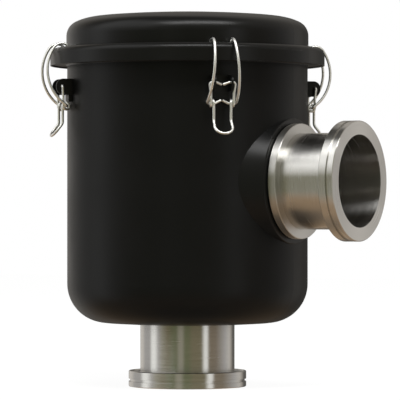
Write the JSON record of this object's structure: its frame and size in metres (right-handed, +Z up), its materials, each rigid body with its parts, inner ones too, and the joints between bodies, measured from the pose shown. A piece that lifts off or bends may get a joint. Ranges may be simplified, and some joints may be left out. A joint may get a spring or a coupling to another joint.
{
  "type": "vacuum line filter",
  "caption": "Canister filter for a vacuum line: domed clip-on lid, flanged port on the side and flanged port below, pleated element inside.",
  "frame": {"origin": "centre of the lower port's flange face, where the filter rests or is bolted up", "axes": "+Z up the canister, +X along the side port, away from the canister"},
  "size_m": [0.3089, 0.2566, 0.3488],
  "materials": {
    "black_coat": "satin black powder coat on steel",
    "stainless": "turned and polished stainless steel",
    "spring_wire": "drawn stainless spring wire",
    "black_rubber": "matt nitrile",
    "tin_plate": "bright plated sheet",
    "filter_felt": "pleated polyester felt"
  },
  "bodies": {
    "housing": {"canister": "black_coat", "lid": "black_coat", "lid_gasket": "black_rubber", "side_port_boss": "black_coat", "side_port_seal": "black_rubber", "side_port_ring": "stainless", "side_port_tube": "stainless", "side_port_flange": "stainless", "bottom_port_tube": "stainless", "bottom_port_flange": "stainless", "element_seat": "stainless", "hold_down_bar": "stainless", "hold_down_stud": "stainless", "stud_nut": "stainless", "element_seal": "black_rubber", "element_lower_cap": "tin_plate", "element_upper_cap": "tin_plate", "element_core": "tin_plate", "element_guard": "tin_plate", "pleated_media": "filter_felt", "cap_seal": "black_rubber", "hold_down_washer": "stainless", "wing_nut": "stainless", "latch_bracket_1": "black_coat", "latch_bracket_2": "black_coat", "latch_bracket_3": "black_coat", "latch_bracket_4": "black_coat"},
    "lever_1": {"latch_lever_1": "spring_wire"},
    "bail_1": {"latch_bail_1": "spring_wire"},
    "lever_2": {"latch_lever_2": "spring_wire"},
    "bail_2": {"latch_bail_2": "spring_wire"},
    "lever_3": {"latch_lever_3": "spring_wire"},
    "bail_3": {"latch_bail_3": "spring_wire"},
    "lever_4": {"latch_lever_4": "spring_wire"},
    "bail_4": {"latch_bail_4": "spring_wire"}
  },
  "joints": [
    {"name": "lever_1_swing", "type": "hinge", "parent": "housing", "child": "lever_1", "pos_m": [0.08641, 0.08641, 0.2796], "axis": [0.7071, -0.7071, 0], "range_deg": [0, 90]},
    {"name": "bail_1_swing", "type": "hinge", "parent": "lever_1", "child": "bail_1", "pos_m": [0.08379, 0.08379, 0.2608], "axis": [0.7071, -0.7071, 0], "range_deg": [-63, 0]},
    {"name": "lever_2_swing", "type": "hinge", "parent": "housing", "child": "lever_2", "pos_m": [-0.08641, 0.08641, 0.2796], "axis": [0.7071, 0.7071, 0], "range_deg": [0, 90]},
    {"name": "bail_2_swing", "type": "hinge", "parent": "lever_2", "child": "bail_2", "pos_m": [-0.08379, 0.08379, 0.2608], "axis": [0.7071, 0.7071, 0], "range_deg": [-63, 0]},
    {"name": "lever_3_swing", "type": "hinge", "parent": "housing", "child": "lever_3", "pos_m": [-0.08641, -0.08641, 0.2796], "axis": [-0.7071, 0.7071, 0], "range_deg": [0, 90]},
    {"name": "bail_3_swing", "type": "hinge", "parent": "lever_3", "child": "bail_3", "pos_m": [-0.08379, -0.08379, 0.2608], "axis": [-0.7071, 0.7071, 0], "range_deg": [-63, 0]},
    {"name": "lever_4_swing", "type": "hinge", "parent": "housing", "child": "lever_4", "pos_m": [0.08641, -0.08641, 0.2796], "axis": [-0.7071, -0.7071, 0], "range_deg": [0, 90]},
    {"name": "bail_4_swing", "type": "hinge", "parent": "lever_4", "child": "bail_4", "pos_m": [0.08379, -0.08379, 0.2608], "axis": [-0.7071, -0.7071, 0], "range_deg": [-63, 0]}
  ],
  "couplings": [
    {"joint": "bail_1_swing", "follows": "lever_1_swing", "ratio": -0.7},
    {"joint": "bail_2_swing", "follows": "lever_2_swing", "ratio": -0.7},
    {"joint": "bail_3_swing", "follows": "lever_3_swing", "ratio": -0.7},
    {"joint": "bail_4_swing", "follows": "lever_4_swing", "ratio": -0.7}
  ]
}
